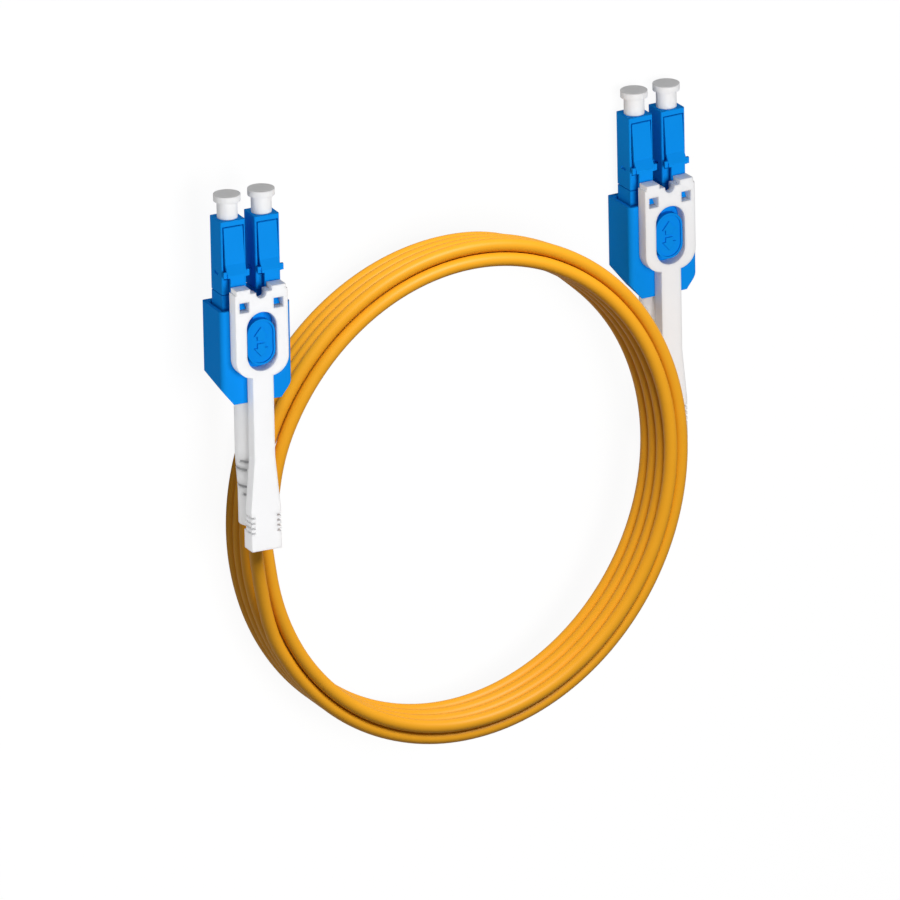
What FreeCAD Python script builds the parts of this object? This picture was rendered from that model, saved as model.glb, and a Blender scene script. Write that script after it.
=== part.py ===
"""Fibre patch cable: two duplex push-pull connectors on one round jacketed cable, lying coiled.

Each connector is built in a frame of its own: +Y towards the plug tips, +Z towards the pull tab,
with the origin in the middle of the housing's rear end. The coil's frame has its origin in the
middle of the coil's underside. The object's frame has its origin on the floor, in the middle of
the right connector's base, with +Y towards that connector's plug tips.
"""
import FreeCAD
import Part
import Sketcher
import math
import os
import re

from FreeCAD import Placement, Rotation, Vector

doc = FreeCAD.newDocument("patch_cable")

# Driving dimensions, in millimetres unless the name says otherwise.
SIZES = {
    # plug: the standard small duplex form
    "plug_pitch": 6.25,
    "plug_width": 4.52,
    "plug_exposed": 15.3,
    "plug_corner": 0.3,
    "frame_length": 12.8,
    "sleeve_bore": 2.7,
    "sleeve_depth": 3.6,
    "stop_wall": 0.6,
    "stop_bore": 1.6,
    "spring_bore": 2.9,
    "side_slit_width": 0.5,
    "side_slit_height": 1.5,
    "side_slit_depth": 0.25,
    "side_slit_reach": 9.2,
    # latch lever on each plug
    "latch_setback": 1.3,
    "latch_root_radius": 0.22,
    "latch_panel_width": 3.5,
    "latch_panel_length": 6.2,
    "latch_panel_rise": 0.5,
    "latch_thickness": 0.46,
    "latch_ramp_length": 1.6,
    "latch_tail_width": 2.6,
    "latch_wing_span": 4.7,
    "latch_wing_length": 1.1,
    "latch_wing_height": 0.45,
    "latch_wing_drop": 0.35,
    "latch_gap": 0.2,
    "latch_recess_depth": 0.58,
    "hump_width": 1.6,
    "hump_length": 1.5,
    "hump_height": 1.2,
    # ferrule, its metal holder and the spring behind it
    "ferrule_diameter": 1.25,
    "ferrule_length": 6.6,
    "ferrule_reach": 1.6,
    "ferrule_chamfer": 0.15,
    "ferrule_float": 1.0,
    "holder_diameter": 2.8,
    "holder_length": 2.0,
    "holder_tube_diameter": 1.6,
    "holder_tube_length": 5.2,
    "spring_length": 4.7,
    "spring_wire": 0.34,
    "spring_mean_diameter": 2.2,
    "spring_turns": 6,
    "fibre_diameter": 0.9,
    "running_gap": 0.05,
    # rear body of a plug, held by the housing
    "rear_width": 4.4,
    "rear_height": 4.2,
    "seam_width": 0.2,
    "seam_depth": 0.35,
    "rear_collar_width": 5.0,
    "rear_collar_height": 5.0,
    "rear_collar_length": 1.2,
    "rear_tail_length": 1.0,
    # dust cap on each plug
    "cap_head_diameter": 4.6,
    "cap_head_height": 1.1,
    "cap_height": 4.1,
    "cap_stem_diameter": 3.5,
    "cap_spigot_length": 2.0,
    "cap_bore_clearance": 0.6,
    # housing: a cover that carries the plugs, closed below by a base
    "housing_width": 12.9,
    "housing_depth": 7.6,
    "housing_length": 16.6,
    "housing_wall": 0.7,
    "housing_rim": 0.6,
    "housing_corner_width": 2.1,
    "housing_corner_length": 2.65,
    "housing_corner_low_length": 4.3,
    "housing_edge_radius": 0.9,
    "base_thickness": 1.1,
    "base_lip_height": 0.8,
    "base_lip_width": 0.8,
    "mouth_depth": 1.6,
    "plug_wall": 1.4,
    "rear_wall": 1.4,
    "fit_gap": 0.1,
    # oval button on the cover, in the tab's window: its rear end is measured back from the housing's front
    "button_width": 5.1,
    "button_length": 8.1,
    "button_height": 2.0,
    "button_rear": 9.6,
    "button_rim": 0.35,
    "button_dish": 0.3,
    "arrow_width": 2.5,
    "arrow_length": 2.3,
    "arrow_shaft_width": 1.35,
    "arrow_head_length": 1.5,
    "arrow_gap": 0.55,
    "guide_width": 2.0,
    "guide_height": 0.9,
    # pull tab: its front, rear and small windows are placed from the housing's front
    "tab_thickness": 2.4,
    "tab_width": 9.6,
    "tab_front": 3.4,
    "tab_rear": 11.6,
    "tab_corner": 3.3,
    "tab_travel": 1.3,
    "tab_slide_gap": 0.05,
    "lug_inner": 2.0,
    "lug_outer": 4.5,
    "lug_height": 0.8,
    "notch_width": 1.9,
    "notch_depth": 1.1,
    "window_size": 1.8,
    "window_rear": 0.2,
    "button_side_gap": 0.25,
    "button_rear_gap": 0.9,
    "tail_width": 3.75,
    "tail_end_width": 5.4,
    "tail_taper_front": 9.5,
    "tail_taper_rear": 18.5,
    "tail_end": 25.7,
    "tail_block_length": 3.3,
    "tail_block_depth": 0.7,
    "grip_count": 4,
    "grip_pitch": 0.9,
    "grip_width": 0.35,
    "grip_depth": 0.7,
    "grip_front": 19.6,
    # strain-relief boot and the crimp ring on the cable
    "boot_length": 22.5,
    "boot_diameter": 5.4,
    "boot_tip_diameter": 4.7,
    "boot_taper_front": 10.5,
    "boot_taper_rear": 16.5,
    "boot_edge_radius": 0.25,
    "boot_neck_diameter": 4.0,
    "boot_flange_diameter": 4.8,
    "boot_flange_length": 1.2,
    "boot_slot_width": 0.45,
    "boot_slot_floor": 1.6,
    "boot_slot_ridge": 1.75,
    "boot_slot_side": 0.7,
    "boot_slot_first": 10.75,
    "boot_slot_step": 1.45,
    "boot_slot_pair": 4.5,
    "axis_height": 0.5,
    "ring_wall": 0.5,
    "ring_length": 2.4,
    # cable and coil
    "cable_diameter": 2.6,
    "coil_half_width": 37.4,
    "coil_half_height": 42.6,
    "coil_layers": 4,
    "coil_rows": 2,
    "coil_corner_radius": 1.25,
    "rest_gap": 0.15,
    "lead_middle": 12.1,
    "lead_straight": 9.0,
    "lead_play": 0.02,
    # where the coil lies from the origin, and the left connector from the coil's middle
    "coil_across": -41.0,
    "coil_along": -33.0,
    "left_across": -40.5,
    "left_along": 24.86,
    "left_turn_degrees": -0.3,
    "left_roll_degrees": 2.5,
    "left_droop_degrees": 1.0,
}

sheet = doc.addObject("Spreadsheet::Sheet", "Sizes")
for row, (alias, value) in enumerate(SIZES.items(), start=1):
    sheet.set(f"A{row}", alias)
    sheet.set(f"B{row}", str(value))
    sheet.setAlias(f"B{row}", alias)
doc.recompute()

# Places worked out from the driving dimensions, as expressions in their names.
ZERO = "0"
TOP = "(housing_depth / 2)"
BOTTOM = "(-housing_depth / 2)"
TIP = "(housing_length + plug_exposed)"
SEAM = f"({TIP} - frame_length)"
STOP_REAR = f"({TIP} - sleeve_depth - stop_wall)"
SPRING_FRONT = f"({STOP_REAR} - holder_length)"
SPRING_REAR = f"({SPRING_FRONT} - spring_length)"
REAR_END = "(housing_length - mouth_depth - plug_wall - fit_gap - rear_collar_length - rear_tail_length)"
PLUG_TOP = "(plug_width / 2)"
FERRULE_REAR = f"({TIP} + ferrule_reach - ferrule_length)"
RING_REAR = "(rear_wall + boot_flange_length)"
RING_FRONT = f"({RING_REAR} + ring_length)"
HINGE_ALONG = f"({TIP} - latch_setback)"
HINGE_HEIGHT = f"({PLUG_TOP} - latch_root_radius)"
TAB_UNDER = f"({TOP} + tab_slide_gap)"
TAIL_TOP = f"({TOP} - latch_gap + tab_slide_gap)"
TAB_FRONT = "(housing_length + tab_front)"
SMALL_WINDOW_REAR = "(housing_length + window_rear)"
TAB_REAR = "(housing_length - tab_rear)"
BUTTON_REAR = "(housing_length - button_rear)"
WINDOW_REAR = f"({BUTTON_REAR} - button_rear_gap)"
WINDOW_FRONT = f"({BUTTON_REAR} + button_length + tab_travel + fit_gap)"


# Shares and tolerances that are not sizes.
ARC_SHARE = 0.45
VOLUME_TOLERANCE = 0.01
SAME = 1e-6


def tied(text):
    """The expression with every name read from the sheet."""
    return re.sub(r"[A-Za-z_]\w*", lambda word: "Sizes." + word.group(0), text)


def size(text):
    """The value of an expression in the sheet's names."""
    return float(sheet.evalExpression(text))


def origin_plane(body, role):
    return next(item for item in body.Origin.OriginFeatures if item.Role == role)


def new_body(label):
    body = doc.addObject("PartDesign::Body", label)
    body.Label = label
    return body


def new_sketch(body, role, offset):
    """A sketch on one of the body's own planes, moved along the plane's normal."""
    sketch = body.newObject("Sketcher::SketchObject", "outline")
    sketch.AttachmentSupport = [(origin_plane(body, role), "")]
    sketch.MapMode = "FlatFace"
    sketch.setExpression("AttachmentOffset.Base.z", tied(offset))
    return sketch


def hold_point(sketch, geometry, position, across, along):
    """Ties one point of a sketch to two expressions, measured from the sketch's origin."""
    for kind, text in (("DistanceX", across), ("DistanceY", along)):
        index = sketch.addConstraint(Sketcher.Constraint(kind, -1, 1, geometry, position, size(text)))
        sketch.setExpression(f"Constraints[{index}]", tied(text))


def polygon(sketch, corners):
    """A closed outline of straight lines through corners given as pairs of expressions."""
    places = [Vector(size(across), size(along), 0) for across, along in corners]
    lines = []
    for index, place in enumerate(places):
        following = places[(index + 1) % len(places)]
        lines.append(sketch.addGeometry(Part.LineSegment(place, following), False))
    for index, line in enumerate(lines):
        sketch.addConstraint(Sketcher.Constraint("Coincident", line, 2, lines[(index + 1) % len(lines)], 1))
    for line, (across, along) in zip(lines, corners):
        hold_point(sketch, line, 1, across, along)


def rectangle(sketch, left, right, low, high):
    polygon(sketch, [(left, low), (right, low), (right, high), (left, high)])


def circle(sketch, across, along, diameter):
    centre = Vector(size(across), size(along), 0)
    ring = sketch.addGeometry(Part.Circle(centre, Vector(0, 0, 1), size(diameter) / 2), False)
    hold_point(sketch, ring, 3, across, along)
    index = sketch.addConstraint(Sketcher.Constraint("Diameter", ring, size(diameter)))
    sketch.setExpression(f"Constraints[{index}]", tied(diameter))


def slot(sketch, low, high, width):
    """A round-ended slot about the sketch's vertical axis, from low to high over its ends."""
    radius = size(width) / 2
    centres = [f"{low} + {width} / 2", f"{high} - {width} / 2"]
    first, last = (Vector(0, size(text), 0) for text in centres)
    up = Vector(0, 0, 1)
    side = Vector(radius, 0, 0)
    bottom = sketch.addGeometry(Part.ArcOfCircle(Part.Circle(first, up, radius), math.pi, 2 * math.pi), False)
    right = sketch.addGeometry(Part.LineSegment(first + side, last + side), False)
    top = sketch.addGeometry(Part.ArcOfCircle(Part.Circle(last, up, radius), 0, math.pi), False)
    left = sketch.addGeometry(Part.LineSegment(last - side, first - side), False)
    for one, one_end, other, other_end in ((bottom, 2, right, 1), (right, 2, top, 1),
                                           (top, 2, left, 1), (left, 2, bottom, 1)):
        sketch.addConstraint(Sketcher.Constraint("Tangent", one, one_end, other, other_end))
    hold_point(sketch, bottom, 3, ZERO, centres[0])
    hold_point(sketch, top, 3, ZERO, centres[1])
    index = sketch.addConstraint(Sketcher.Constraint("Diameter", bottom, 2 * radius))
    sketch.setExpression(f"Constraints[{index}]", tied(width))


def extrude(body, kind, sketch, length, reverse):
    feature = body.newObject(f"PartDesign::{kind}", kind.lower())
    feature.Profile = sketch
    feature.Reversed = reverse
    feature.setExpression("Length", tied(length))
    return feature


def add_up(body, low, high, draw):
    """Adds material between two heights, with an outline drawn in plan."""
    sketch = new_sketch(body, "XY_Plane", low)
    draw(sketch)
    return extrude(body, "Pad", sketch, f"({high}) - ({low})", False)


def cut_up(body, low, high, draw):
    """Takes material away between two heights, with an outline drawn in plan."""
    sketch = new_sketch(body, "XY_Plane", low)
    draw(sketch)
    return extrude(body, "Pocket", sketch, f"({high}) - ({low})", True)


def cut_between(body, low, high, draw):
    """Takes material away between two outlines, drawn in plan at two heights."""
    outlines = []
    for height in (low, high):
        sketch = new_sketch(body, "XY_Plane", height)
        draw(sketch, height)
        outlines.append(sketch)
    loft = body.newObject("PartDesign::SubtractiveLoft", "loft")
    loft.Profile, loft.Sections = outlines[0], outlines[1:]
    loft.Ruled = True
    return loft


def add_along(body, rear, front, draw):
    """Adds material between two places along the connector, with an outline drawn end on."""
    sketch = new_sketch(body, "XZ_Plane", f"-({rear})")
    draw(sketch)
    return extrude(body, "Pad", sketch, f"({front}) - ({rear})", True)


def cut_along(body, rear, front, draw):
    """Takes material away between two places along the connector, drawn end on."""
    sketch = new_sketch(body, "XZ_Plane", f"-({rear})")
    draw(sketch)
    return extrude(body, "Pocket", sketch, f"({front}) - ({rear})", False)


def add_across(body, width, draw):
    """Adds material of a given width about the middle plane, drawn from the side."""
    sketch = new_sketch(body, "YZ_Plane", f"-{width} / 2")
    draw(sketch)
    return extrude(body, "Pad", sketch, width, False)


def turned(label, profile):
    """A turned piece: a half section of radius and place along the axis, revolved about it."""
    body = new_body(label)
    sketch = new_sketch(body, "XY_Plane", ZERO)
    polygon(sketch, profile)
    feature = body.newObject("PartDesign::Revolution", "revolution")
    feature.Profile = sketch
    feature.ReferenceAxis = (sketch, ["V_Axis"])
    feature.Angle = 360
    return body


def round_edges(body, radius, chosen):
    """Rounds the edges of the body's last feature that the given test picks."""
    doc.recompute()
    base = body.Tip
    names = [f"Edge{number}" for number, edge in enumerate(base.Shape.Edges, start=1) if chosen(edge)]
    fillet = body.newObject("PartDesign::Fillet", "fillet")
    fillet.Base = (base, names)
    fillet.setExpression("Radius", tied(radius))
    return fillet


def runs_along(edge, axis):
    """Whether an edge is straight and parallel to an axis."""
    if edge.Curve.TypeId != "Part::GeomLine":
        return False
    return abs(abs(edge.tangentAt(edge.FirstParameter).dot(axis)) - 1) < SAME


# Plug frame: the square front body with the bore for the adapter's sleeve, the stop that the
# ferrule's holder is pressed against, and the recess in which the latch lever lies.
def plug_frame(label):
    body = new_body(label)
    half = "plug_width / 2"
    add_along(body, SEAM, TIP, lambda s: rectangle(s, f"-{half}", half, f"-{half}", half))
    round_edges(body, "plug_corner", lambda edge: runs_along(edge, Vector(0, 1, 0)))
    cut_along(body, f"{TIP} - sleeve_depth", TIP, lambda s: circle(s, ZERO, ZERO,
                                                                   "sleeve_bore"))
    cut_along(body, STOP_REAR, TIP, lambda s: circle(s, ZERO, ZERO, "stop_bore"))
    cut_along(body, SEAM, STOP_REAR, lambda s: circle(s, ZERO, ZERO, "spring_bore"))
    recess = "latch_panel_width / 2 + latch_gap"
    rear = f"({HINGE_ALONG} - latch_panel_length - latch_ramp_length - latch_wing_length)"
    front = f"({HINGE_ALONG} + latch_root_radius + latch_gap)"
    cut_up(body, f"{PLUG_TOP} - latch_recess_depth", PLUG_TOP,
           lambda s: rectangle(s, f"-({recess})", recess, rear, front))
    slit = f"({TIP} - side_slit_reach)"
    for side in ("-", ""):
        low, high = (f"{side}{half}", f"{side}({half} - side_slit_depth)")
        edges = (low, high) if side else (high, low)
        cut_up(body, "-side_slit_height / 2", "side_slit_height / 2",
               lambda s: rectangle(s, *edges, f"{slit} - side_slit_width", slit))
    return body


# Latch lever: a springy panel rooted near the plug's tip, rising to two side wings that catch
# in the adapter, with a tail whose hump stands in the pull tab's small square window.
def latch_lever(label):
    body = new_body(label)
    panel_end = f"({HINGE_ALONG} - latch_panel_length)"
    ramp_end = f"({panel_end} - latch_ramp_length)"
    panel_top = f"({PLUG_TOP} + latch_panel_rise)"
    root_under = f"({PLUG_TOP} - latch_thickness)"
    panel_under = f"({panel_top} - latch_thickness)"
    tail_under = f"({TAIL_TOP} - latch_thickness)"
    tail_end = f"({SMALL_WINDOW_REAR} + latch_gap)"
    wing_top = f"({TAIL_TOP} - latch_wing_drop)"
    add_across(body, "latch_panel_width", lambda s: polygon(s, [
        (HINGE_ALONG, PLUG_TOP), (panel_end, panel_top), (ramp_end, TAIL_TOP),
        (f"{ramp_end} - latch_thickness", TAIL_TOP), (f"{ramp_end} - latch_thickness", tail_under),
        (ramp_end, tail_under), (panel_end, panel_under), (HINGE_ALONG, root_under)]))
    add_across(body, "latch_panel_width",
               lambda s: circle(s, HINGE_ALONG, HINGE_HEIGHT, "2 * latch_root_radius"))
    add_across(body, "latch_tail_width",
               lambda s: rectangle(s, tail_end, ramp_end, tail_under, TAIL_TOP))
    add_across(body, "latch_wing_span",
               lambda s: rectangle(s, f"{ramp_end} - latch_wing_length / 2",
                                   f"{ramp_end} + latch_wing_length / 2",
                                   f"{wing_top} - latch_wing_height", wing_top))
    add_across(body, "hump_width", lambda s: polygon(s, [
        (tail_end, TAIL_TOP), (f"{tail_end} + hump_length", TAIL_TOP),
        (tail_end, f"{TAIL_TOP} + hump_height")]))
    return body


# Ferrule: the ground ceramic pin that holds the fibre's end.
def ferrule(label):
    front = f"({TIP} + ferrule_reach)"
    radius = "ferrule_diameter / 2"
    return turned(label, [(ZERO, FERRULE_REAR), (radius, FERRULE_REAR),
                          (radius, f"{front} - ferrule_chamfer"), (f"{radius} - ferrule_chamfer", front),
                          (ZERO, front)])


# Ferrule holder: the metal collar pressed on the ferrule's rear end, with a tube for the fibre.
def ferrule_holder(label):
    bore = "fibre_diameter / 2 + fit_gap"
    tube = "holder_tube_diameter / 2"
    return turned(label, [("ferrule_diameter / 2", STOP_REAR), ("holder_diameter / 2", STOP_REAR),
                          ("holder_diameter / 2", SPRING_FRONT), (tube, SPRING_FRONT),
                          (tube, f"{SPRING_FRONT} - holder_tube_length"),
                          (bore, f"{SPRING_FRONT} - holder_tube_length"), (bore, FERRULE_REAR),
                          ("ferrule_diameter / 2", FERRULE_REAR)])


# Ferrule spring: pushes the holder forward against the stop.
def ferrule_spring(label):
    body = new_body(label)
    sketch = new_sketch(body, "XY_Plane", ZERO)
    first_turn = f"{SPRING_REAR} + spring_wire / 2 + fit_gap / 2"
    circle(sketch, "spring_mean_diameter / 2", first_turn, "spring_wire")
    helix = body.newObject("PartDesign::AdditiveHelix", "helix")
    helix.Profile = sketch
    helix.ReferenceAxis = (sketch, ["V_Axis"])
    helix.Mode = "height-turns-angle"
    helix.setExpression("Height", tied("spring_length - spring_wire - fit_gap"))
    helix.setExpression("Turns", tied("spring_turns"))
    return body


# Plug rear body: closes the frame behind the spring and is held by its collar in the housing.
def plug_rear(label):
    body = new_body(label)
    wide, tall = "rear_width / 2", "rear_height / 2"
    seam_rear = f"({SEAM} - seam_width)"
    add_along(body, REAR_END, seam_rear, lambda s: rectangle(s, f"-{wide}", wide, f"-{tall}", tall))
    seam_wide, seam_tall = f"({wide} - seam_depth)", f"({tall} - seam_depth)"
    add_along(body, seam_rear, SEAM,
              lambda s: rectangle(s, f"-{seam_wide}", seam_wide, f"-{seam_tall}", seam_tall))
    collar_wide, collar_tall = "rear_collar_width / 2", "rear_collar_height / 2"
    collar_rear = f"({REAR_END} + rear_tail_length)"
    add_along(body, collar_rear, f"{collar_rear} + rear_collar_length",
              lambda s: rectangle(s, f"-{collar_wide}", collar_wide, f"-{collar_tall}", collar_tall))
    add_along(body, SEAM, SPRING_REAR,
              lambda s: circle(s, ZERO, ZERO, "spring_bore - 2 * running_gap"))
    cut_along(body, REAR_END, SPRING_REAR,
              lambda s: circle(s, ZERO, ZERO, "holder_tube_diameter + 2 * fit_gap"))
    return body


# Dust cap: a turned-looking moulded plug with a wide flat head, over the ferrule.
def dust_cap(label):
    bore = "ferrule_diameter / 2 + running_gap"
    spigot = "sleeve_bore / 2 - running_gap"
    stem = "cap_stem_diameter / 2"
    head = "cap_head_diameter / 2"
    bore_end = f"({TIP} + ferrule_reach + cap_bore_clearance)"
    crown = f"({TIP} + cap_height)"
    return turned(label, [(bore, f"{TIP} - cap_spigot_length"), (spigot, f"{TIP} - cap_spigot_length"),
                          (spigot, TIP), (stem, TIP), (stem, f"{crown} - cap_head_height"),
                          (head, f"{crown} - cap_head_height"), (head, crown), (ZERO, crown),
                          (ZERO, bore_end), (bore, bore_end)])


def corner_at(height):
    """How far a rear corner's cut reaches along and across the housing, which is most at the base."""
    more = "(housing_corner_low_length - housing_corner_length)"
    along = f"(housing_corner_length + {more} * ({TOP} - ({height})) / housing_depth)"
    return along, f"({along} * housing_corner_width / housing_corner_length)"


def corner_cut(sketch, side, height):
    """A triangle over one rear corner, drawn out past the housing by its own size."""
    along, across = corner_at(height)
    edge = f"{side}(housing_width / 2 + {across})"
    polygon(sketch, [(edge, f"2 * {along}"), (edge, f"-{along}"),
                     (f"{side}(housing_width / 2 - 2 * {across})", f"-{along}")])


def housing_block(body, low, high):
    """The housing's outer shape between two heights, with its two leaning rear corners cut off."""
    wide = "housing_width / 2"
    add_up(body, low, high, lambda s: rectangle(s, f"-{wide}", wide, ZERO, "housing_length"))
    for side in ("-", ""):
        cut_between(body, low, high, lambda s, height: corner_cut(s, side, height))


def arrow(sketch, start, sign):
    """An arrow outline along the connector: shaft first, then the head, in the sign's direction."""
    neck = f"{start} {sign} (arrow_length - arrow_head_length)"
    point = f"{start} {sign} arrow_length"
    polygon(sketch, [("-arrow_shaft_width / 2", start), ("arrow_shaft_width / 2", start),
                     ("arrow_shaft_width / 2", neck), ("arrow_width / 2", neck), (ZERO, point),
                     ("-arrow_width / 2", neck), ("-arrow_shaft_width / 2", neck)])


# Housing cover: the shell that holds both plugs, open at the front and closed below by the base.
# Its top carries the oval button that guides the pull tab, with a push arrow and a pull arrow.
def housing_cover(label):
    body = new_body(label)
    floor = f"({BOTTOM} + base_thickness)"
    housing_block(body, floor, TOP)
    wide = size("housing_width / 2")
    high = size(TOP)
    round_edges(body, "housing_edge_radius", lambda edge: runs_along(edge, Vector(0, 1, 0))
                and abs(edge.CenterOfMass.z - high) < SAME and abs(abs(edge.CenterOfMass.x) - wide) < SAME)
    chamber_front = "(housing_length - mouth_depth - plug_wall)"
    inner = "(housing_width / 2 - housing_wall)"
    along, across = corner_at(floor)
    corner = f"({along} + housing_wall / 2)"
    narrow = f"(housing_width / 2 - {across} - housing_wall / 2)"
    cut_up(body, floor, f"{TOP} - housing_wall", lambda s: polygon(s, [
        (f"-{inner}", chamber_front), (f"-{inner}", corner), (f"-{narrow}", "rear_wall"),
        (narrow, "rear_wall"), (inner, corner), (inner, chamber_front)]))
    mouth = "(housing_width / 2 - housing_rim)"
    cut_along(body, "housing_length - mouth_depth", "housing_length",
              lambda s: rectangle(s, f"-{mouth}", mouth, floor, f"{TOP} - housing_rim"))
    for side in ("-", ""):
        middle = f"{side}plug_pitch / 2"
        for breadth, height, rear, front in (
                ("rear_width", "rear_height", chamber_front, "housing_length"),
                ("rear_collar_width", "rear_collar_height", f"{REAR_END} - fit_gap", chamber_front)):
            half_wide, half_tall = f"({breadth} / 2 + fit_gap)", f"({height} / 2 + fit_gap)"
            cut_along(body, rear, front,
                      lambda s: rectangle(s, f"{middle} - {half_wide}", f"{middle} + {half_wide}",
                                          f"-{half_tall}", half_tall))
    cut_along(body, ZERO, "rear_wall",
              lambda s: circle(s, ZERO, "axis_height", "boot_neck_diameter"))
    crown = f"({TOP} + button_height)"
    button_front = f"({BUTTON_REAR} + button_length)"
    add_up(body, TOP, crown, lambda s: slot(s, BUTTON_REAR, button_front, "button_width"))
    dish = f"({crown} - button_dish)"
    cut_up(body, dish, crown, lambda s: slot(s, f"{BUTTON_REAR} + button_rim", f"{button_front} - button_rim",
                                             "(button_width - 2 * button_rim)"))
    middle = f"({BUTTON_REAR} + button_length / 2)"
    for sign in ("+", "-"):
        add_up(body, dish, crown, lambda s: arrow(s, f"{middle} {sign} arrow_gap / 2", sign))
    half_guide = "guide_width / 2"
    add_up(body, TOP, f"{TOP} + guide_height",
           lambda s: rectangle(s, f"-{half_guide}", half_guide, f"{button_front} - button_width / 2",
                               "housing_length"))
    return body


# Housing base: the plate that closes the cover from behind, with a lip that locates it inside.
def housing_base(label):
    body = new_body(label)
    top = f"({BOTTOM} + base_thickness)"
    housing_block(body, BOTTOM, top)
    low = size(BOTTOM)
    wide = size("housing_width / 2")
    round_edges(body, "housing_edge_radius / 2", lambda edge: runs_along(edge, Vector(0, 1, 0))
                and abs(edge.CenterOfMass.z - low) < SAME and abs(abs(edge.CenterOfMass.x) - wide) < SAME)
    outer = "(housing_width / 2 - housing_wall - fit_gap)"
    front = f"({REAR_END} - fit_gap)"
    rear = f"({corner_at(top)[0]} + housing_wall / 2 + fit_gap)"
    lip_top = f"({top} + base_lip_height)"
    for left, right in ((f"-{outer}", f"-{outer} + base_lip_width"), (f"{outer} - base_lip_width", outer)):
        add_up(body, top, lip_top, lambda s: rectangle(s, left, right, rear, front))
    return body


# Pull tab: a white plate that slides on the cover, with two lugs at its front, a square window
# over each latch hump, an oval window around the button, and a long tail ending in a grip.
def pull_tab(label):
    body = new_body(label)
    top = f"({TOP} + tab_thickness)"
    half = "tab_width / 2"
    add_up(body, TAB_UNDER, top, lambda s: rectangle(s, f"-{half}", half, TAB_REAR, TAB_FRONT))
    rear = size(TAB_REAR)
    round_edges(body, "tab_corner", lambda edge: runs_along(edge, Vector(0, 0, 1))
                and abs(edge.CenterOfMass.y - rear) < SAME)
    narrow, broad = "tail_width / 2", "tail_end_width / 2"
    root = f"({TAB_REAR} + tab_corner)"
    add_up(body, TAB_UNDER, top, lambda s: polygon(s, [
        (f"-{narrow}", root), (f"-{narrow}", "-tail_taper_front"), (f"-{broad}", "-tail_taper_rear"),
        (f"-{broad}", "-tail_end"), (broad, "-tail_end"), (broad, "-tail_taper_rear"),
        (narrow, "-tail_taper_front"), (narrow, root)]))
    add_up(body, f"{TAB_UNDER} - tail_block_depth", TAB_UNDER,
           lambda s: rectangle(s, f"-{broad}", broad, "-tail_end", "-(tail_end - tail_block_length)"))
    for left, right in (("-lug_outer", "-lug_inner"), ("lug_inner", "lug_outer")):
        add_up(body, TAB_UNDER, top,
               lambda s: rectangle(s, left, right, TAB_FRONT, f"{TAB_FRONT} + lug_height"))
    cut_up(body, TAB_UNDER, top, lambda s: slot(s, WINDOW_REAR, WINDOW_FRONT,
                                                "(button_width + 2 * button_side_gap)"))
    notch_rear = f"({TAB_FRONT} - notch_depth)"
    cut_up(body, TAB_UNDER, top,
           lambda s: slot(s, notch_rear, f"{notch_rear} + 2 * notch_width", "notch_width"))
    keyway = "(guide_width / 2 + fit_gap)"
    cut_up(body, TAB_UNDER, f"{TOP} + guide_height + fit_gap",
           lambda s: rectangle(s, f"-{keyway}", keyway, f"{WINDOW_FRONT} - button_width / 2", TAB_FRONT))
    for side in ("-", ""):
        middle = f"{side}plug_pitch / 2"
        cut_up(body, TAB_UNDER, top,
               lambda s: rectangle(s, f"{middle} - window_size / 2", f"{middle} + window_size / 2",
                                   SMALL_WINDOW_REAR, f"{SMALL_WINDOW_REAR} + window_size"))
    for index in range(int(size("grip_count"))):
        front = f"-(grip_front + {index} * grip_pitch)"
        for left, right in ((f"-{broad}", f"-{broad} + grip_depth"), (f"{broad} - grip_depth", broad)):
            cut_up(body, TAB_UNDER, top, lambda s: rectangle(s, left, right, f"{front} - grip_width", front))
    return body


# Boot: the soft round strain relief behind the housing, held by a flange inside the rear wall. It
# narrows over its flex slots, two of them round its front and two between these in each side.
def boot(label):
    bore, neck, flange = "cable_diameter / 2", "boot_neck_diameter / 2", "boot_flange_diameter / 2"
    wide, tip = "boot_diameter / 2", "boot_tip_diameter / 2"
    flange_front = "(rear_wall + boot_flange_length)"
    body = turned(label, [(bore, "-boot_length"), (tip, "-boot_length"), (tip, "-boot_taper_rear"),
                          (wide, "-boot_taper_front"), (wide, ZERO), (neck, ZERO), (neck, "rear_wall"),
                          (flange, "rear_wall"), (flange, flange_front), (bore, flange_front)])
    rear, inner = -size("boot_length"), size(bore)
    round_edges(body, "boot_edge_radius", lambda edge: edge.Curve.TypeId == "Part::GeomCircle"
                and abs(edge.CenterOfMass.y - rear) < SAME and edge.Curve.Radius > inner + SAME)
    for index, (step, kind) in enumerate(((0, "front"), (1, "side"), (0, "side"), (1, "front"))):
        end = f"-(boot_slot_first + {step} * boot_slot_step + {index // 2} * boot_slot_pair)"
        if kind == "front":
            cut_along(body, f"{end} - boot_slot_width", end, lambda s: polygon(s, [
                (ZERO, "boot_slot_ridge"), (wide, "boot_slot_side"), (wide, wide),
                (f"-{wide}", wide), (f"-{wide}", "boot_slot_side")]))
            continue
        for left, right in ((f"-{wide}", "-boot_slot_floor"), ("boot_slot_floor", wide)):
            cut_along(body, f"{end} - boot_slot_width", end,
                      lambda s: rectangle(s, left, right, f"-{wide}", wide))
    return body


# Crimp ring: the metal sleeve that grips the jacket behind the boot's flange.
def crimp_ring(label):
    inner = "cable_diameter / 2"
    outer = "cable_diameter / 2 + ring_wall"
    return turned(label, [(inner, RING_REAR), (outer, RING_REAR), (outer, RING_FRONT), (inner, RING_FRONT)])


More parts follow.
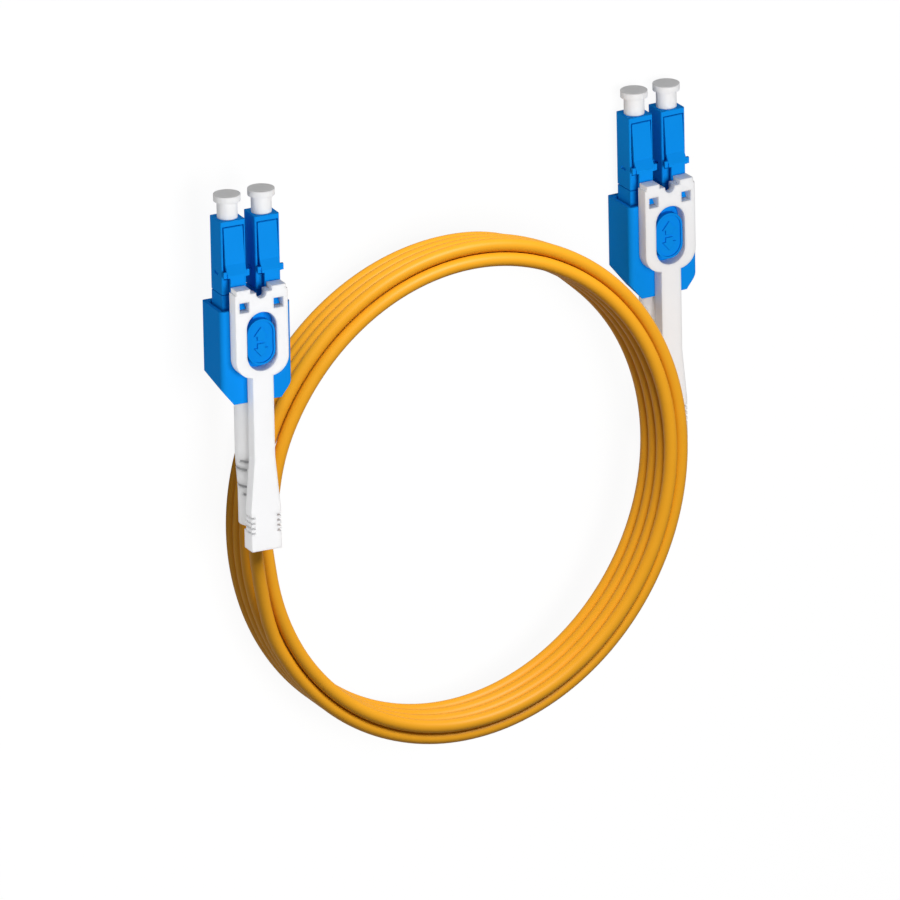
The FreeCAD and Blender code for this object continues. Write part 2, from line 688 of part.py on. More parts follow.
def route_wire(points):
    """A wire of straight runs joined by tangent arcs as large as the runs allow, and the arcs' radii."""
    radii = []
    edges = []
    start = points[0]
    for before, here, after in zip(points, points[1:], points[2:]):
        arriving = here - before
        leaving = after - here
        turn = arriving.getAngle(leaving)
        setback = ARC_SHARE * min(arriving.Length, leaving.Length)
        radii.append(setback / math.tan(turn / 2))
        arriving.normalize()
        leaving.normalize()
        enter = here - arriving * setback
        leave = here + leaving * setback
        inward = leaving - arriving
        inward.normalize()
        to_centre = math.hypot(radii[-1], setback)
        middle = here + inward * (to_centre - radii[-1])
        edges.append(Part.LineSegment(start, enter).toShape())
        edges.append(Part.Arc(enter, middle, leave).toShape())
        start = leave
    edges.append(Part.LineSegment(start, points[-1]).toShape())
    return Part.Wire(edges), radii


def double_bend(start, finish, along):
    """Two equal tangent arcs that lead from one straight to another parallel to it."""
    middle = (start + finish) / 2
    chord = middle - start
    turn = along.getAngle(chord)
    outward = along - chord * (along.dot(chord) / chord.dot(chord))
    outward.normalize()
    bulge = start + chord / 2 + outward * (chord.Length / 2 * math.tan(turn / 2))
    return [Part.Arc(start, bulge, middle).toShape(), Part.Arc(middle, middle * 2 - bulge, finish).toShape()]


def tube_along(label, wire, start, direction, diameter):
    """A round solid along a wire; its volume is compared with its section times its length."""
    section = Part.Wire(Part.Circle(start, direction, diameter / 2).toShape())
    tube = wire.makePipeShell([section], True, True)
    expected = math.pi * diameter ** 2 / 4 * wire.Length
    if abs(tube.Volume - expected) > VOLUME_TOLERANCE * expected:
        raise RuntimeError(f"{label}: volume {tube.Volume:.2f}, expected {expected:.2f}")
    piece = doc.addObject("Part::Feature", label)
    piece.Label = label
    piece.Shape = tube
    return piece


# Buffered fibre: from the cable's end in the crimp ring, apart to its plug's axis in two bends,
# and through the rear body into the holder's tube, short of the ferrule by what it can float.
def buffered_fibre(label, side):
    forward = Vector(0, 1, 0)
    start = Vector(side * size("fibre_diameter + fit_gap") / 2, size(RING_FRONT), size("axis_height"))
    entry = Vector(side * size("plug_pitch") / 2, size(f"{REAR_END} - fit_gap"), 0)
    finish = Vector(entry.x, size(f"{FERRULE_REAR} - ferrule_float - fit_gap"), 0)
    bends = double_bend(start, entry, forward)
    wire = Part.Wire(bends + [Part.LineSegment(entry, finish).toShape()])
    return tube_along(label, wire, start, forward, size("fibre_diameter"))


# The coil leans: its left edge is on the floor, and its right side lies over the end of the right
# connector's tail, which sets how far it leans. The left connector's boot lies on the coil, and
# the stiff cable carries its nose, which droops and rolls a little.
coil_height = size("coil_layers * cable_diameter")
coil_edge = size("coil_half_width + coil_rows * cable_diameter / 2")
corner = size("coil_corner_radius")
tail_side = size("-coil_across - tail_end_width / 2")
lift = size("housing_depth + tab_thickness + rest_gap")
lean = math.atan2(lift, tail_side + coil_edge - corner)
rest_height = (coil_edge - corner) * math.sin(lean) + corner * (1 - math.cos(lean))
coil_on_floor = Vector(size("coil_across"), size("coil_along"), 0)
coil_turn = Rotation(Vector(0, 1, 0), -math.degrees(lean))
coil_frame = Placement(coil_on_floor + Vector(0, 0, rest_height), coil_turn)

right_frame = Placement(Vector(0, size("-housing_length / 2"), size("housing_depth / 2")), Rotation())
roll = size("left_roll_degrees")
droop = size("left_droop_degrees")
boot_under = size("boot_tip_diameter / 2 - axis_height")
boot_rise = size("boot_length") * math.sin(math.radians(droop))
left_height = coil_height + size("rest_gap") + boot_under - boot_rise
left_turn = Rotation(Vector(0, 0, 1), size("left_turn_degrees"))
left_turn = left_turn.multiply(Rotation(Vector(0, 1, 0), roll)).multiply(Rotation(Vector(1, 0, 0), -droop))
left_place = Vector(size("left_across"), size("left_along"), left_height)
left_frame = coil_frame.multiply(Placement(left_place, left_turn))

# Every piece of both connectors, each in its own node.
nodes = []
for end, frame in (("left", left_frame), ("right", right_frame)):
    for name, make in (("housing_base", housing_base), ("housing_cover", housing_cover),
                       ("pull_tab", pull_tab)):
        piece = make(f"{end}_{name}")
        piece.Placement = frame
        nodes.append(piece)
    for name, make in (("boot", boot), ("crimp_ring", crimp_ring)):
        piece = make(f"{end}_{name}")
        piece.Placement = frame.multiply(Placement(Vector(0, 0, size("axis_height")), Rotation()))
        nodes.append(piece)
    for plug, side in (("a", -1), ("b", 1)):
        place = frame.multiply(Placement(Vector(side * size("plug_pitch") / 2, 0, 0), Rotation()))
        for name, make in (("plug_frame", plug_frame), ("latch_lever", latch_lever), ("ferrule", ferrule),
                           ("ferrule_holder", ferrule_holder), ("ferrule_spring", ferrule_spring),
                           ("plug_rear", plug_rear), ("dust_cap", dust_cap)):
            piece = make(f"{end}_{name}_{plug}")
            piece.Placement = place
            nodes.append(piece)
        piece = buffered_fibre(f"{end}_fibre_{plug}", side)
        piece.Placement = frame
        nodes.append(piece)

# Coil: one closed ring of the bundle's outer shape, an upright oval with rounded edges.
rings = []
for sign in ("+", "-"):
    ellipse = doc.addObject("Part::Ellipse", "coil_edge_line")
    reach = "coil_rows * cable_diameter / 2"
    ellipse.setExpression("MajorRadius", tied(f"coil_half_height {sign} {reach}"))
    ellipse.setExpression("MinorRadius", tied(f"coil_half_width {sign} {reach}"))
    ellipse.Placement = Placement(Vector(0, 0, 0), Rotation(Vector(0, 0, 1), 90))
    block = doc.addObject("Part::Extrusion", "coil_block")
    block.Base = ellipse
    block.DirMode = "Custom"
    block.Dir = Vector(0, 0, 1)
    block.Solid = True
    block.setExpression("LengthFwd", tied("coil_layers * cable_diameter"))
    rings.append(block)
ring = doc.addObject("Part::Cut", "coil_ring")
ring.Base, ring.Tool = rings
doc.recompute()
coil = doc.addObject("Part::Fillet", "cable_coil")
coil.Base = ring
rims = [number for number, edge in enumerate(ring.Shape.Edges, start=1)
        if edge.Curve.TypeId == "Part::GeomEllipse"]
coil.Edges = [(number, corner, corner) for number in rims]
coil.Label = "cable_coil"
coil.Placement = coil_frame
nodes.append(coil)

# Leads: the cable's two ends, each from its crimp ring straight through the boot, and on to the
# coil. The left one comes down onto the coil's upper face and becomes its first turn. The right
# one runs below the coil's right side and becomes the last turn, in the lowest layer.
LEAD_START = [Vector(0, size(RING_FRONT), size("axis_height")),
              Vector(0, size("-lead_middle"), size("axis_height + lead_play")),
              Vector(0, size("-boot_length - lead_straight"), size("axis_height"))]
LEFT_POINTS = [Vector(-37.0, -19.4, 11.9), Vector(-30.0, -30.2, 10.2), Vector(-20.0, -38.6, 9.1)]
RIGHT_POINTS = [Vector(38.6, -18.8, 4.6), Vector(32.6, -29.8, 5.2), Vector(23.8, -38.2, 6.0),
                Vector(12.8, -43.0, 6.6), Vector(1.6, -44.4, 6.7)]
left_route = [left_frame.multVec(point) for point in LEAD_START]
left_route += [coil_frame.multVec(point) for point in LEFT_POINTS]
right_route = [right_frame.multVec(point) for point in LEAD_START]
right_route += [coil_on_floor + point for point in RIGHT_POINTS]
for label, route in (("left_lead", left_route), ("right_lead", right_route)):
    wire, radii = route_wire(route)
    nodes.append(tube_along(label, wire, route[0], route[1] - route[0], size("cable_diameter")))
    print(label, "length", round(wire.Length, 1), "radii", [round(radius, 1) for radius in radii])

doc.recompute()
failed = [item.Name for item in doc.Objects if {"Invalid", "Error"} & set(item.State)]
failed += [piece.Label for piece in nodes if piece.Shape.isNull() or not piece.Shape.isValid()]
if failed:
    raise RuntimeError(f"objects that failed: {failed}")
os.makedirs("parts", exist_ok=True)
for piece in nodes:
    piece.Shape.exportStep(f"parts/{piece.Label}.step")
print(len(nodes), "nodes, coil leans", round(math.degrees(lean), 2), "degrees")
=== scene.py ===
import bpy
import math

from mathutils import Matrix, Vector


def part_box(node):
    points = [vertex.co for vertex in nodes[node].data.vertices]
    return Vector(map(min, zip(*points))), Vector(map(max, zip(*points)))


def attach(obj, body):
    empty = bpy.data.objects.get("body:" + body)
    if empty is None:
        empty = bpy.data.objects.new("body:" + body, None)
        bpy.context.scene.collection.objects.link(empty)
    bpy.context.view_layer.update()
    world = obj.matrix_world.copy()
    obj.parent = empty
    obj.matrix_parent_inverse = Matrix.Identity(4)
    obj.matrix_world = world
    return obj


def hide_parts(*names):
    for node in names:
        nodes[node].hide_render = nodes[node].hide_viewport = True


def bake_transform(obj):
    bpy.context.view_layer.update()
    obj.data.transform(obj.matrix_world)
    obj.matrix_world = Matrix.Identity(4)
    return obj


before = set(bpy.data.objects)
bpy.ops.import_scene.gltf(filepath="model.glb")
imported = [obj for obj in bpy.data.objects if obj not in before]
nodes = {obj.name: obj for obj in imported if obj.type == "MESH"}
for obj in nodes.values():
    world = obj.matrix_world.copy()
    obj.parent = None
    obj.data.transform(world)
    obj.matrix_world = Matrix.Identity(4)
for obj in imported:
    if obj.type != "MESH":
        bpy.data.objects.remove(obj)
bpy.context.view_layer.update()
BASE_BODY = "cable_and_housings"


# Cable: one round duplex cord, its jacket an extruded golden yellow plastic with a satin skin.
# It leaves the left connector's boot, lies in a neat oval coil two turns wide and four high, and
# runs below the coil's right side into the right connector's boot.
class Wire:
    """A socket of a material's nodes. Arithmetic on it adds Math nodes, and node() adds any other."""

    def __init__(self, tree, socket=None):
        self.tree = tree
        self.socket = socket

    def node(self, kind, settings=None, inputs=None, output=0):
        made = self.tree.nodes.new(kind)
        for name, value in (settings or {}).items():
            setattr(made, name, value)
        for name, value in (inputs or {}).items():
            if isinstance(value, Wire):
                self.tree.links.new(value.socket, made.inputs[name])
            else:
                made.inputs[name].default_value = value
        return Wire(self.tree, made.outputs[output])

    def maths(self, operation, other):
        return self.node("ShaderNodeMath", {"operation": operation}, {0: self, 1: other})

    def __add__(self, other):
        return self.maths("ADD", other)

    __radd__ = __add__

    def __mul__(self, other):
        return self.maths("MULTIPLY", other)

    __rmul__ = __mul__


def new_material(name, **sockets):
    """A material with one Principled shader, whose plain values are set here. join() links its wires."""
    material = bpy.data.materials.new(name)
    material.use_nodes = True
    shader = material.node_tree.nodes["Principled BSDF"]
    for socket, value in sockets.items():
        shader.inputs[socket.replace("_", " ")].default_value = value
    return material, shader, Wire(material.node_tree)


def join(shader, **wires):
    """Links wires to the shader's sockets, which are given by name."""
    for socket, wire in wires.items():
        wire.tree.links.new(wire.socket, shader.inputs[socket.replace("_", " ")])


def linear(red, green, blue):
    """A colour given in everyday 0 to 255 steps, as the shader's linear values."""
    return tuple(((c / 255 + 0.055) / 1.055) ** 2.4 if c > 10 else c / 255 / 12.92
                 for c in (red, green, blue)) + (1.0,)


CABLE_DIAMETER = 0.0023
JACKET_SHADES = linear(226, 156, 28), linear(231, 161, 34)
JACKET_ROUGHNESS = 0.36
JACKET_GLOSS_CHANGE = 0.12

# The route's points at each end, from the crimp ring through the boot to the coil.
left_route = [(-0.08273, -0.00313, 0.01210), (-0.08285, -0.02023, 0.01241), (-0.08294, -0.03403, 0.01262)]
right_route = [(-0.0394, -0.0774, 0.0067), (-0.0282, -0.0760, 0.0066), (-0.0172, -0.0712, 0.0060),
               (-0.0084, -0.0628, 0.0052), (-0.0024, -0.0518, 0.0046), (0.0, -0.0393, 0.0043),
               (0.0, -0.0204, 0.0043), (0.0, -0.0033, 0.0043)]

# The coil's own turns: the rows and layers of the eight passes in its section, as the cord is laid
# from the top layer down, and the angles where it changes from each pass to the next. Most changes lie
# at the left, behind the connector, and the last lies under the coil's far side. The oval slants to the
# upper right, the inner row lies a little higher, and each lower layer is slightly smaller and further
# left.
COIL_MIDDLE = Vector((-0.04106, -0.03324, 0.00509))
COIL_LEAN = math.radians(7.5)
COIL_HALF_WIDTH = 0.03771
COIL_HALF_HEIGHT = 0.04225
COIL_SLANT = 0.00124
ROW_STEP = 0.00226
LAYER_STEP = 0.00246
INNER_RISE = 0.0009
OUTER_ROW = 0.5
TOP_LAYER = 3.5
PASSES = [(0.5, 3.5), (-0.5, 3.5), (-0.5, 2.5), (0.5, 2.5), (0.5, 1.5), (-0.5, 1.5), (-0.5, 0.5), (0.5, 0.5)]
CHANGES = [174, 174, 158, 158, 158, 158, 66]
CHANGE_REACH = 14
BULGE = 0.42
LAYER_SHIFT = (-0.00031, -0.00013)
LAYER_SHRINK = (0.00009, 0.00026)
FULL_TURN = 360
COIL_STEP = 7.5
JOIN_ANGLE = 225
JOIN_STEPS = [(203, 0.22, 3.95), (215, 0.02, 3.54)]
JOIN_SPREAD = 1.005
LEAVE_ANGLE = 258

# The curve runs slightly inside its control points, so they lie further out by that share.
MIDDLE_SHARE = 0.75
COIL_SPREAD = 1 / (MIDDLE_SHARE + (1 - MIDDLE_SHARE) * math.cos(math.radians(COIL_STEP)))
coil_turn = Matrix.Rotation(-COIL_LEAN, 3, "Y")


def coil_place(angle, row, layer, spread=COIL_SPREAD):
    """A control point at an angle round the coil, in degrees, and a place in its section."""
    turn = math.radians(angle)
    drop = TOP_LAYER - min(layer, TOP_LAYER)
    out = row * ROW_STEP
    height = layer * LAYER_STEP + (OUTER_ROW - row) * INNER_RISE
    half_width = COIL_HALF_WIDTH + out - LAYER_SHRINK[0] * drop
    half_height = COIL_HALF_HEIGHT + out - LAYER_SHRINK[1] * drop
    across = half_width * math.cos(turn) + COIL_SLANT * math.sin(turn)
    along = half_height * math.sin(turn) + COIL_SLANT * math.cos(turn)
    place = Vector((LAYER_SHIFT[0] * drop + spread * across, LAYER_SHIFT[1] * drop + spread * along, height))
    return COIL_MIDDLE + coil_turn @ place


def coil_point(angle):
    """A control point at an angle along the winding, in degrees, counted on from turn to turn."""
    for change, at in enumerate(CHANGES):
        offset = angle - at - FULL_TURN * (change + 1)
        if abs(offset) < CHANGE_REACH:
            share = (offset + CHANGE_REACH) / (2 * CHANGE_REACH)
            eased = share * share * (3 - 2 * share)
            (row_a, layer_a), (row_b, layer_b) = PASSES[change], PASSES[change + 1]
            row = row_a + (row_b - row_a) * eased
            layer = layer_a + (layer_b - layer_a) * eased
            if row_a == row_b:
                row += math.copysign(BULGE, row_a) * math.sin(math.pi * share) ** 2
            return coil_place(angle, row, layer)
    passed = sum(angle > at + FULL_TURN * (change + 1) for change, at in enumerate(CHANGES))
    return coil_place(angle, *PASSES[passed])


route = [Vector(point) for point in left_route]
route += [coil_place(angle, OUTER_ROW + out, layer, JOIN_SPREAD) for angle, out, layer in JOIN_STEPS]
steps = int((len(CHANGES) * FULL_TURN + LEAVE_ANGLE - JOIN_ANGLE) / COIL_STEP)
route += [coil_point(JOIN_ANGLE + step * COIL_STEP) for step in range(steps)]
route += [Vector(point) for point in right_route]

line = bpy.data.curves.new("cable", "CURVE")
line.dimensions = "3D"
line.bevel_depth = CABLE_DIAMETER / 2
line.bevel_resolution = 6
line.resolution_u = 4
line.use_fill_caps = True
spline = line.splines.new("NURBS")
spline.points.add(len(route) - 1)
for point, place in zip(spline.points, route):
    point.co = (*place, 1.0)
spline.use_endpoint_u = True
spline.order_u = 3
cable = bpy.data.objects.new("cable", line)
bpy.context.scene.collection.objects.link(cable)

jacket, shader, start = new_material("cable_jacket", IOR=1.32)
place = start.node("ShaderNodeTexCoord", output="Object")
mottle = start.node("ShaderNodeTexNoise", inputs={"Vector": place, "Scale": 260.0, "Detail": 3.0})
tone = start.node("ShaderNodeMix", {"data_type": "RGBA"},
                  {"Factor": mottle, 6: JACKET_SHADES[0], 7: JACKET_SHADES[1]}, output=2)
skin = start.node("ShaderNodeTexNoise", inputs={"Vector": place, "Scale": 5200.0, "Detail": 2.0})
bump = start.node("ShaderNodeBump", inputs={"Height": skin, "Strength": 0.06, "Distance": 0.0001})
join(shader, Base_Color=tone, Roughness=JACKET_ROUGHNESS + JACKET_GLOSS_CHANGE * mottle, Normal=bump)
line.materials.append(jacket)
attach(cable, BASE_BODY)
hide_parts("cable_coil", "left_lead", "right_lead")


# Inside each connector: a buffered fibre runs from the cord to each plug, into a ceramic pin in a
# nickel-plated holder with a steel spring behind it, which shortens as the pin is pushed back. A brass
# ring is crimped on the jacket's end.
FIBRE_SHADES = linear(228, 226, 214), linear(236, 234, 224)
CERAMIC_SHADES = linear(236, 234, 226), linear(244, 242, 236)
NICKEL_SHADE = linear(196, 192, 184)
STEEL_SHADE = linear(188, 190, 194)
BRASS_SHADE = linear(204, 184, 132)
FLOW_GLOSS_CHANGE = 0.08
MARKS_GLOSS_CHANGE = 0.15
FERRULES = ("left_ferrule_a", "left_ferrule_b", "right_ferrule_a", "right_ferrule_b")


def plastic(name, shades, roughness, grain, edge, **sockets):
    """A moulded finish: two close shades in slow flow marks, a fine grain and slightly soft edges."""
    material, shader, start = new_material(name, **sockets)
    place = start.node("ShaderNodeTexCoord", output="Object")
    flow = start.node("ShaderNodeTexNoise", inputs={"Vector": place, "Scale": 140.0, "Detail": 2.0})
    tone = start.node("ShaderNodeMix", {"data_type": "RGBA"},
                      {"Factor": flow, 6: shades[0], 7: shades[1]}, output=2)
    rounded = start.node("ShaderNodeBevel", {"samples": 4}, {"Radius": edge})
    texture = start.node("ShaderNodeTexNoise", inputs={"Vector": place, "Scale": 3600.0, "Detail": 2.0})
    bump = start.node("ShaderNodeBump",
                      inputs={"Height": texture, "Strength": grain, "Distance": 0.0001, "Normal": rounded})
    join(shader, Base_Color=tone, Roughness=roughness + FLOW_GLOSS_CHANGE * flow, Normal=bump)
    return material


def metal(name, shade, roughness):
    """A bare metal with fine turning and drawing marks in its gloss."""
    material, shader, start = new_material(name, Base_Color=shade, Metallic=1.0)
    place = start.node("ShaderNodeTexCoord", output="Object")
    marks = start.node("ShaderNodeTexNoise", inputs={"Vector": place, "Scale": 2400.0, "Detail": 2.0})
    join(shader, Roughness=roughness + MARKS_GLOSS_CHANGE * marks)
    return material


def finish(pieces, material):
    """Gives the named pieces of both connectors one finish."""
    for end in ("left", "right"):
        for piece in pieces:
            mesh = nodes[f"{end}_{piece}"].data
            mesh.materials.clear()
            mesh.materials.append(material)


finish(["fibre_a", "fibre_b"],
       plastic("fibre_buffer", FIBRE_SHADES, roughness=0.45, grain=0.03, edge=0.00004))
finish(["ferrule_a", "ferrule_b"],
       plastic("ferrule_ceramic", CERAMIC_SHADES, roughness=0.12, grain=0.01, edge=0.00004))
finish(["ferrule_holder_a", "ferrule_holder_b"], metal("holder_metal", NICKEL_SHADE, roughness=0.25))
finish(["ferrule_spring_a", "ferrule_spring_b"], metal("spring_steel", STEEL_SHADE, roughness=0.2))
finish(["crimp_ring"], metal("crimp_metal", BRASS_SHADE, roughness=0.3))

# Each spring is copied into a piece of its own, baked in place, and the solid one is hidden.
for ferrule in FERRULES:
    solid = ferrule.replace("ferrule", "ferrule_spring")
    low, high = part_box(solid)
    middle = (low + high) / 2
    spring = bpy.data.objects.new(ferrule.replace("ferrule", "float_spring"), nodes[solid].data.copy())
    bpy.context.scene.collection.objects.link(spring)
    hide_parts(solid)
    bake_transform(spring)


# Plugs: two square blue bodies side by side, each moulded in a front and a rear half, with a springy
# latch lever on top that is moulded with the front half and bends at its root.
PLUG_SHADES = linear(10, 141, 234), linear(13, 145, 238)
finish(["plug_frame_a", "plug_frame_b", "plug_rear_a", "plug_rear_b", "latch_lever_a", "latch_lever_b"],
       plastic("plug_blue", PLUG_SHADES, roughness=0.45, grain=0.05, edge=0.00008, IOR=1.06))


# Housings: blue moulded plastic shells that hold the two plugs side by side. Each has a cover with an
# oval button and two arrows on it, and is closed from below by a snapped-in base.
HOUSING_SHADES = linear(10, 138, 230), linear(13, 142, 234)
finish(["housing_cover", "housing_base"],
       plastic("housing_blue", HOUSING_SHADES, roughness=0.46, grain=0.06, edge=0.00012, IOR=1.06))


# Boots: soft round white strain reliefs, moulded over the cord behind each housing. Flex slots round
# the front and in both sides thin the wall. Grey strips at the bottom of each slot are painted shade
# that stands in for the shade deep inside the slots.
BOOT_SHADES = linear(243, 243, 244), linear(248, 248, 249)
MILKY = {"IOR": 1.35, "Subsurface_Weight": 0.6, "Subsurface_Scale": 0.001,
         "Subsurface_Radius": (1.0, 1.0, 1.0)}
THICK_MILKY = {**MILKY, "Subsurface_Weight": 1.0, "Subsurface_Scale": 0.0025}
# The grey of the strips in the slots is painted shade for the depth of the slots, not a part's colour.
SLOT_SHADE_GREYS = linear(178, 178, 180), linear(186, 186, 188)

# Each slot's place along the boot, the boot's radius there, and the angles where it starts and ends.
SLOT_ARCS = [(-0.010975, 0.00267, 19, 161), (-0.012425, 0.00259, 131, 229), (-0.012425, 0.00259, -49, 49),
             (-0.015475, 0.00241, 135, 225), (-0.015475, 0.00241, -45, 45), (-0.016925, 0.00235, 27, 153)]
SLOT_WIDTH = 0.00043
SLOT_DEPTH = 0.00014
SHADE_STRIP_DEPTH = 0.00015
ARC_STEP = 7.0
AXIS_HEIGHT = 0.0005

# Where each connector lies: the left one leans with the coil, and the right one lies flat.
CONNECTORS = {
    "left": Matrix(((0.996174, 0.006713, -0.087131, -0.082721), (-0.005231, 0.999838, 0.017224, -0.008140),
                    (0.087232, -0.016702, 0.996048, 0.011687), (0.0, 0.0, 0.0, 1.0))),
    "right": Matrix.Translation((0.0, -0.0083, 0.0038)),
}

finish(["boot"], plastic("boot_white", BOOT_SHADES, roughness=0.55, grain=0.08, edge=0.00012, **THICK_MILKY))
# The grey finish of the slot strips, which paints the shade inside the slots.
slot_shade_grey = plastic("boot_slot_shade", SLOT_SHADE_GREYS, roughness=0.6, grain=0.08, edge=0.00004)

strips = bpy.data.node_groups.new("slot_strips", "GeometryNodeTree")
strips.interface.new_socket("Places", in_out="INPUT", socket_type="NodeSocketGeometry")
depth_input = strips.interface.new_socket("Strip depth", in_out="INPUT", socket_type="NodeSocketFloat")
width_input = strips.interface.new_socket("Strip width", in_out="INPUT", socket_type="NodeSocketFloat")
finish_input = strips.interface.new_socket("Finish", in_out="INPUT", socket_type="NodeSocketMaterial")
strips.interface.new_socket("Strips", in_out="OUTPUT", socket_type="NodeSocketGeometry")


def add(kind, **links):
    """A node of the strips' tree, its sockets linked or set by name."""
    made = strips.nodes.new(kind)
    for name, value in links.items():
        socket = made.inputs[name.replace("_", " ")]
        if isinstance(value, bpy.types.NodeSocket):
            strips.links.new(value, socket)
        else:
            socket.default_value = value
    return made


given = add("NodeGroupInput").outputs
reach = add("GeometryNodeInputNamedAttribute", Name="reach").outputs["Attribute"]
turned = add("GeometryNodeInputNamedAttribute", Name="turn")
turned.data_type = "QUATERNION"
size = add("ShaderNodeCombineXYZ", X=given["Strip depth"], Y=given["Strip width"], Z=reach).outputs[0]
spots = add("GeometryNodeMeshToPoints", Mesh=given["Places"]).outputs[0]
block = add("GeometryNodeMeshCube", Size=(1.0, 1.0, 1.0)).outputs["Mesh"]
laid = add("GeometryNodeInstanceOnPoints", Points=spots, Instance=block,
           Rotation=turned.outputs["Attribute"], Scale=size)
realized = add("GeometryNodeRealizeInstances", Geometry=laid.outputs[0]).outputs[0]
finished = add("GeometryNodeSetMaterial", Geometry=realized, Material=given["Finish"]).outputs[0]
add("NodeGroupOutput", Strips=finished)

# Grey strips laid along each slot's floor, just under the surface, as painted shade of the slots.
for end, connector in CONNECTORS.items():
    places = []
    turns = []
    reaches = []
    for along, radius, first, last in SLOT_ARCS:
        middle = radius - SLOT_DEPTH - SHADE_STRIP_DEPTH / 2
        count = round((last - first) / ARC_STEP)
        for strip in range(count):
            angle = math.radians(first + (last - first) * (strip + 0.5) / count)
            place = Vector((middle * math.cos(angle), along, AXIS_HEIGHT + middle * math.sin(angle)))
            places.append(connector @ place)
            turns.extend((connector @ Matrix.Rotation(-angle, 4, "Y")).to_quaternion())
            reaches.append((middle + SHADE_STRIP_DEPTH / 2) * math.radians((last - first) / count))
    marks = bpy.data.meshes.new(f"{end}_slot_places")
    marks.from_pydata(places, [], [])
    marks.attributes.new("turn", "QUATERNION", "POINT").data.foreach_set("value", turns)
    marks.attributes.new("reach", "FLOAT", "POINT").data.foreach_set("value", reaches)
    shade_strip = bpy.data.objects.new(f"{end}_boot_slot_shade", marks)
    bpy.context.scene.collection.objects.link(shade_strip)
    modifier = shade_strip.modifiers.new("strips", "NODES")
    modifier.node_group = strips
    modifier[depth_input.identifier] = SHADE_STRIP_DEPTH
    modifier[width_input.identifier] = SLOT_WIDTH
    modifier[finish_input.identifier] = slot_shade_grey
    made = shade_strip.evaluated_get(bpy.context.evaluated_depsgraph_get())
    plain = bpy.data.meshes.new_from_object(made)
    shade_strip.modifiers.remove(modifier)
    shade_strip.data = plain
    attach(shade_strip, BASE_BODY)


# Pull tabs: stiff white plates that slide on the covers, with lugs over the latch levers and a long
# tail with grip notches. They are moulded in one piece and snapped under the button's rim.
TAB_SHADES = linear(242, 242, 243), linear(246, 246, 247)
finish(["pull_tab"], plastic("tab_white", TAB_SHADES, roughness=0.4, grain=0.04, edge=0.0001, **MILKY))


# Dust caps: white moulded plastic stoppers with a flange to hold. Each is pushed over a ceramic pin
# into the front of its plug, and is pulled off by hand before use.
CAP_SHADES = linear(245, 245, 246), linear(249, 249, 250)
finish(["dust_cap_a", "dust_cap_b"],
       plastic("cap_white", CAP_SHADES, roughness=0.5, grain=0.05, edge=0.00006, **MILKY))


# Floor: a wide pale paper sheet under the object. A glow that only the camera sees makes it white,
# and what shows of the paper through it keeps a faint soft shadow.
FLOOR_SIZE = 2.0
PAPER_SHADE = (0.5, 0.5, 0.5, 1.0)
GLOW_SHADE = (1.0, 1.0, 1.0, 1.0)
GLOW_SHARE = 0.85
GLOW_LEVEL = 1.1
half = FLOOR_SIZE / 2
corners = [(-half, -half, 0), (half, -half, 0), (half, half, 0), (-half, half, 0)]
floor_mesh = bpy.data.meshes.new("floor")
floor_mesh.from_pydata(corners, [], [(0, 1, 2, 3)])
floor = bpy.data.objects.new("floor", floor_mesh)
bpy.context.scene.collection.objects.link(floor)
paper, shader, start = new_material("floor_paper", Base_Color=PAPER_SHADE, Roughness=0.9)
camera_ray = start.node("ShaderNodeLightPath", output="Is Camera Ray")
glow = start.node("ShaderNodeEmission", inputs={"Color": GLOW_SHADE, "Strength": GLOW_LEVEL})
matte = Wire(start.tree, shader.outputs[0])
seen = start.node("ShaderNodeMixShader", inputs={"Fac": GLOW_SHARE * camera_ray, 1: matte, 2: glow})
start.tree.links.new(seen.socket, start.tree.nodes["Material Output"].inputs["Surface"])
floor_mesh.materials.append(paper)


# Camera: far off with a long lens, so that the view is nearly parallel. It looks down on the coil from
# its lower left, and is aimed so that the middle of the coil's top layer falls on COIL_PIXEL.
PHOTO_SIDE = 900
PIXELS_PER_METRE = 5966
COIL_PIXEL = (467.3, 491.5)
YAW, PITCH, ROLL = (math.radians(angle) for angle in (29.5, 20.85, -1.05))
DISTANCE = 6.0
SENSOR_WIDTH = 36
FURTHEST_SEEN = 20
level = Vector((math.cos(YAW), 0, math.sin(YAW)))
rise = Vector((math.sin(YAW) * math.sin(PITCH), math.cos(PITCH), -math.cos(YAW) * math.sin(PITCH)))
right = level * math.cos(ROLL) + rise * math.sin(ROLL)
up = rise * math.cos(ROLL) - level * math.sin(ROLL)
back = right.cross(up)
coil_top = COIL_MIDDLE + coil_turn @ Vector((0, 0, TOP_LAYER * LAYER_STEP))
across, down = (PHOTO_SIDE / 2 - pixel for pixel in COIL_PIXEL)
aim = coil_top + (right * across - up * down) / PIXELS_PER_METRE
lens = bpy.data.cameras.new("camera")
lens.sensor_width = SENSOR_WIDTH
lens.lens = SENSOR_WIDTH * DISTANCE * PIXELS_PER_METRE / PHOTO_SIDE
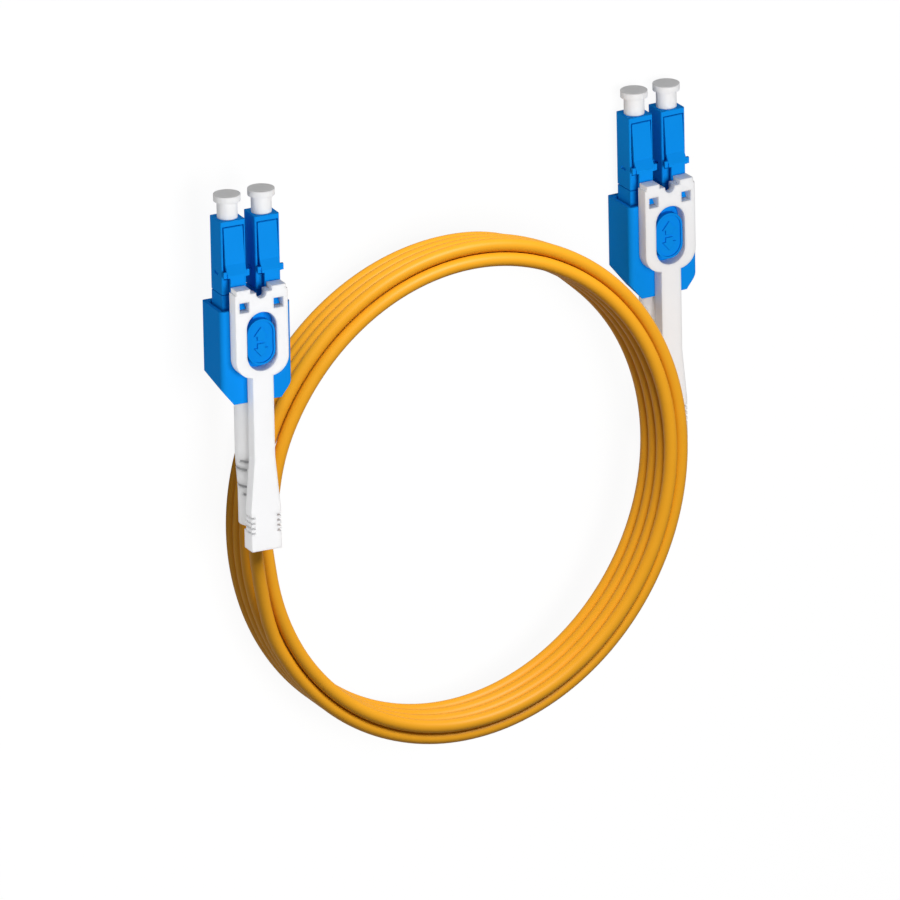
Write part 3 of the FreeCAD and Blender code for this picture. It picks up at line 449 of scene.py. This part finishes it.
lens.clip_end = FURTHEST_SEEN
camera = bpy.data.objects.new("camera", lens)
facing = Matrix((right, up, back)).transposed().to_4x4()
camera.matrix_world = Matrix.Translation(aim + back * DISTANCE) @ facing
bpy.context.scene.collection.objects.link(camera)
bpy.context.scene.camera = camera


# Light: a white studio with large soft lamps, each for some pieces alone: one above the connectors, two
# at their left, of which one is for the boots and tabs, and one beyond the coil's far side for the cord.
# Each lamp's side is given as right, up and towards the camera, with its power and the pieces it lights.
ROOM_SHADE = (1.0, 1.0, 1.0, 1.0)
ROOM_LEVEL = 0.2
LAMP_DISTANCE = 0.6
LAMP_SIZE = 0.3
WHITE_PIECES = ("boot", "pull_tab")
connectors = [piece for piece in bpy.context.scene.objects if piece.type == "MESH"]
whites = [nodes[f"{end}_{piece}"] for end in CONNECTORS for piece in WHITE_PIECES]
LAMPS = {"connector_lamp": ((0.45, -0.15, 0.87), 2.9, connectors),
         "side_lamp": ((-0.75, -0.25, 0.60), 0.4, connectors),
         "white_lamp": ((-0.75, -0.25, 0.60), 1.0, whites),
         "cord_lamp": ((0.30, 0.51, 0.81), 4.6, [cable])}

studio = bpy.data.worlds.new("studio")
bpy.context.scene.world = studio
studio.use_nodes = True
room = studio.node_tree.nodes["Background"]
room.inputs["Color"].default_value = ROOM_SHADE
room.inputs["Strength"].default_value = ROOM_LEVEL

for name, (side, power, pieces) in LAMPS.items():
    lamp = bpy.data.lights.new(name, "AREA")
    lamp.size = LAMP_SIZE
    lamp.energy = power
    holder = bpy.data.objects.new(name, lamp)
    aside = (right * side[0] + up * side[1] + back * side[2]).normalized()
    holder.matrix_world = (Matrix.Translation(coil_top + aside * LAMP_DISTANCE)
                           @ aside.to_track_quat("Z", "Y").to_matrix().to_4x4())
    lit_pieces = bpy.data.collections.new(f"{name}_pieces")
    for piece in pieces:
        lit_pieces.objects.link(piece)
    holder.light_linking.receiver_collection = lit_pieces
    bpy.context.scene.collection.objects.link(holder)
bpy.context.scene.view_settings.view_transform = "Standard"
